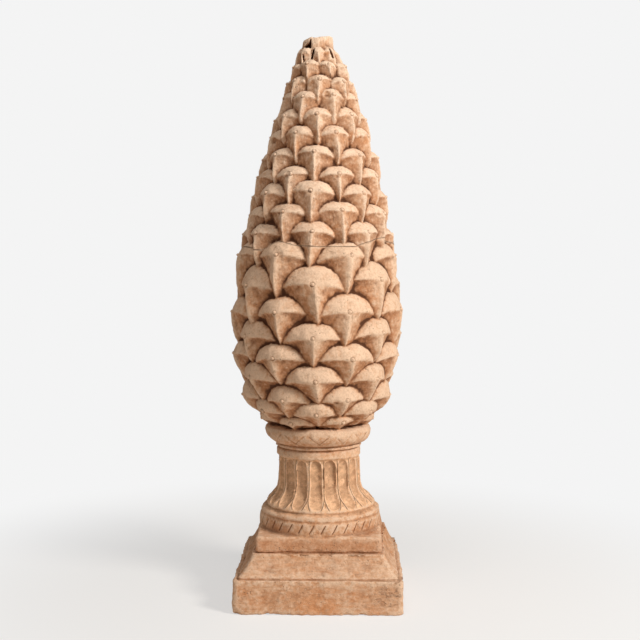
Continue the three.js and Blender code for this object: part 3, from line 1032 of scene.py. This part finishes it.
def build_stage():
    rest()
    bpy.ops.mesh.primitive_circle_add(vertices=96, radius=9, fill_type="NGON", location=(0, 0, -0.0002))
    floor = started("floor")
    paper = Finish("pale_paper")
    where = paper.node("ShaderNodeTexCoord").out("Object")
    away = paper.node("ShaderNodeVectorMath", {"operation": "LENGTH"}, {0: where}).out("Value")
    plainer = 0.60 + away.over(0.30, 1.05) * 0.40
    matt = paper.node("ShaderNodeBsdfDiffuse", {}, {"Color": (0.86, 0.83, 0.79)}).out("BSDF")
    plain = paper.node("ShaderNodeEmission", {}, {"Color": BACKGROUND, "Strength": 1.0}).out("Emission")
    seen = paper.node("ShaderNodeLightPath").out("Is Camera Ray")
    blend = paper.node("ShaderNodeMixShader", {}, {0: plainer * seen, 1: matt, 2: plain}).out("Shader")
    paper.node("ShaderNodeOutputMaterial", {}, {"Surface": blend})
    floor.data.materials.append(paper.material)

    world = bpy.data.worlds.new("studio")
    bpy.context.scene.world = world
    world.use_nodes = True
    nodes, links = world.node_tree.nodes, world.node_tree.links
    nodes.clear()
    soft = nodes.new("ShaderNodeBackground")
    soft.inputs["Color"].default_value = (1.0, 0.92, 0.84, 1)
    soft.inputs["Strength"].default_value = 0.17
    plain = nodes.new("ShaderNodeBackground")
    plain.inputs["Color"].default_value = (*BACKGROUND, 1)
    ray = nodes.new("ShaderNodeLightPath")
    pick = nodes.new("ShaderNodeMixShader")
    out = nodes.new("ShaderNodeOutputWorld")
    links.new(ray.outputs["Is Camera Ray"], pick.inputs[0])
    links.new(soft.outputs[0], pick.inputs[1])
    links.new(plain.outputs[0], pick.inputs[2])
    links.new(pick.outputs[0], out.inputs["Surface"])


def add_light(name, place, aim, size, energy, colour):
    lamp = bpy.data.lights.new(name, "AREA")
    lamp.shape = "DISK"
    lamp.size = size
    lamp.energy = energy
    lamp.color = colour
    holder = bpy.data.objects.new(name, lamp)
    bpy.context.collection.objects.link(holder)
    holder.location = place
    holder.rotation_euler = (Vector(aim) - Vector(place)).to_track_quat("-Z", "Y").to_euler()


def build_camera():
    distance, height, azimuth, tilt = 1.8352, 0.5913, math.radians(1.3), 0.02273
    camera = bpy.data.cameras.new("camera")
    camera.sensor_width = 36
    camera.lens = 55.83
    camera.shift_y = -0.0419
    camera.clip_end = 40
    holder = bpy.data.objects.new("camera", camera)
    bpy.context.collection.objects.link(holder)
    holder.location = (distance * math.sin(azimuth), -distance * math.cos(azimuth), height)
    holder.rotation_euler = (math.pi / 2 - tilt, 0, azimuth)
    bpy.context.scene.camera = holder


build_camera()
build_stage()
add_light("key", (2.25, -1.75, 2.2), (0, 0, 0.5), 0.9, 104, (1.0, 0.97, 0.93))
add_light("top", (-0.3, -1.2, 3.2), (0, 0, 0.6), 1.4, 20, (1.0, 0.97, 0.94))
add_light("fill", (-2.4, -1.6, 1.3), (0, 0, 0.5), 2.0, 4.4, (1.0, 0.83, 0.68))
bpy.context.scene.view_settings.view_transform = "Standard"

body, crowns = build_body()
lower_section, upper_section = fired(body, crowns)

lower_clay = terracotta(
    "lower_terracotta",
    pale=(0.78, 0.56, 0.395), body=(0.61, 0.325, 0.175), warm=(0.60, 0.27, 0.12), deep=(0.37, 0.15, 0.062),
    bleach=0.0,
)
upper_clay = terracotta(
    "upper_terracotta",
    pale=(0.84, 0.635, 0.47), body=(0.65, 0.375, 0.22), warm=(0.62, 0.30, 0.145), deep=(0.34, 0.135, 0.055),
    bleach=0.08,
)
for piece, clay, node, slot in (
    (lower_section, lower_clay, "lower_section", "lower_terracotta"),
    (upper_section, upper_clay, "upper_section", "upper_terracotta"),
):
    piece.data.materials.clear()
    piece.data.materials.append(clay)
    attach(piece, "root")
    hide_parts(node)
